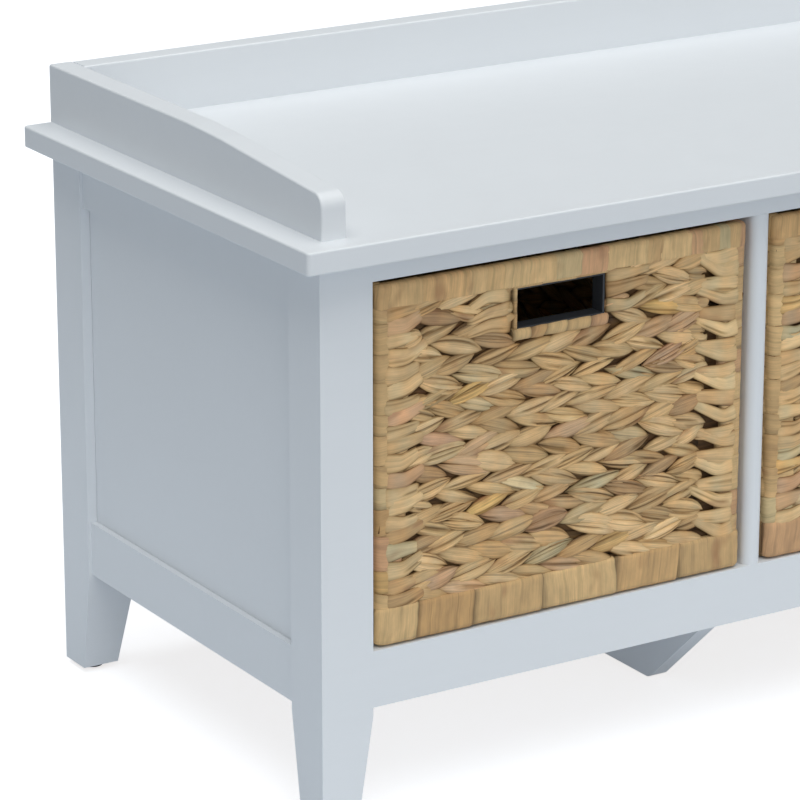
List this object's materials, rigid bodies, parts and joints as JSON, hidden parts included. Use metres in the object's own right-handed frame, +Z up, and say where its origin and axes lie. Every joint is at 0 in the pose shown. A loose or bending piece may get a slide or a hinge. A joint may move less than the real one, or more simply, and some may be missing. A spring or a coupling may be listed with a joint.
{
  "type": "entryway bench",
  "caption": "Painted storage bench with a low gallery round the seat, tapered legs and pull-out baskets of braided leaf in open cubbies.",
  "frame": {"origin": "on the floor, under the middle of the whole bench", "axes": "+X along the bench to the right as seen from the front, the open front faces -Y, +Z up"},
  "size_m": [1.109, 0.407, 0.468],
  "materials": {
    "white_paint": "smooth satin white paint",
    "raw_wood": "bare beech",
    "screw_steel": "zinc-plated screws",
    "coated_wire": "black-coated steel wire",
    "leaf_wrap": "flat dried leaf wound side by side over the wire",
    "leaf_braid": "flat plaits of dried leaf, woven in rows",
    "black_plastic": "matt black"
  },
  "bodies": {
    "bench": {"seat_top": "white_paint", "gallery_back": "white_paint", "gallery_left": "white_paint", "gallery_right": "white_paint", "gallery_screws": "screw_steel", "front_left_leg": "white_paint", "rear_left_leg": "white_paint", "left_upper_rail": "white_paint", "left_lower_rail": "white_paint", "left_side_panel": "white_paint", "left_top_cleat": "white_paint", "left_shelf_cleat": "white_paint", "left_divider": "white_paint", "left_foot_board": "white_paint", "front_right_leg": "white_paint", "rear_right_leg": "white_paint", "right_upper_rail": "white_paint", "right_lower_rail": "white_paint", "right_side_panel": "white_paint", "right_top_cleat": "white_paint", "right_shelf_cleat": "white_paint", "right_divider": "white_paint", "right_foot_board": "white_paint", "front_top_rail": "white_paint", "front_apron": "white_paint", "rear_top_rail": "white_paint", "rear_apron": "white_paint", "back_panel": "white_paint", "shelf": "white_paint", "rail_dowels": "raw_wood", "board_dowels": "raw_wood", "divider_screws": "screw_steel", "top_cleat_screws": "screw_steel", "shelf_cleat_screws": "screw_steel", "leg_glides": "black_plastic"},
    "left_basket": {"left_basket_wire": "coated_wire", "left_basket_rim": "leaf_wrap", "left_basket_base": "leaf_wrap", "left_basket_corners": "leaf_wrap", "left_basket_front": "leaf_braid", "left_basket_sides": "leaf_braid", "left_basket_floor": "leaf_braid", "left_basket_hand_hole": "black_plastic"},
    "middle_basket": {"middle_basket_wire": "coated_wire", "middle_basket_rim": "leaf_wrap", "middle_basket_base": "leaf_wrap", "middle_basket_corners": "leaf_wrap", "middle_basket_front": "leaf_braid", "middle_basket_sides": "leaf_braid", "middle_basket_floor": "leaf_braid", "middle_basket_hand_hole": "black_plastic"},
    "right_basket": {"right_basket_wire": "coated_wire", "right_basket_rim": "leaf_wrap", "right_basket_base": "leaf_wrap", "right_basket_corners": "leaf_wrap", "right_basket_front": "leaf_braid", "right_basket_sides": "leaf_braid", "right_basket_floor": "leaf_braid", "right_basket_hand_hole": "black_plastic"}
  },
  "joints": [
    {"name": "left_basket_pull", "type": "slide", "parent": "bench", "child": "left_basket", "axis": [0, -1, 0], "range_m": [0, 0.38]},
    {"name": "middle_basket_pull", "type": "slide", "parent": "bench", "child": "middle_basket", "axis": [0, -1, 0], "range_m": [0, 0.38]},
    {"name": "right_basket_pull", "type": "slide", "parent": "bench", "child": "right_basket", "axis": [0, -1, 0], "range_m": [0, 0.38]}
  ]
}
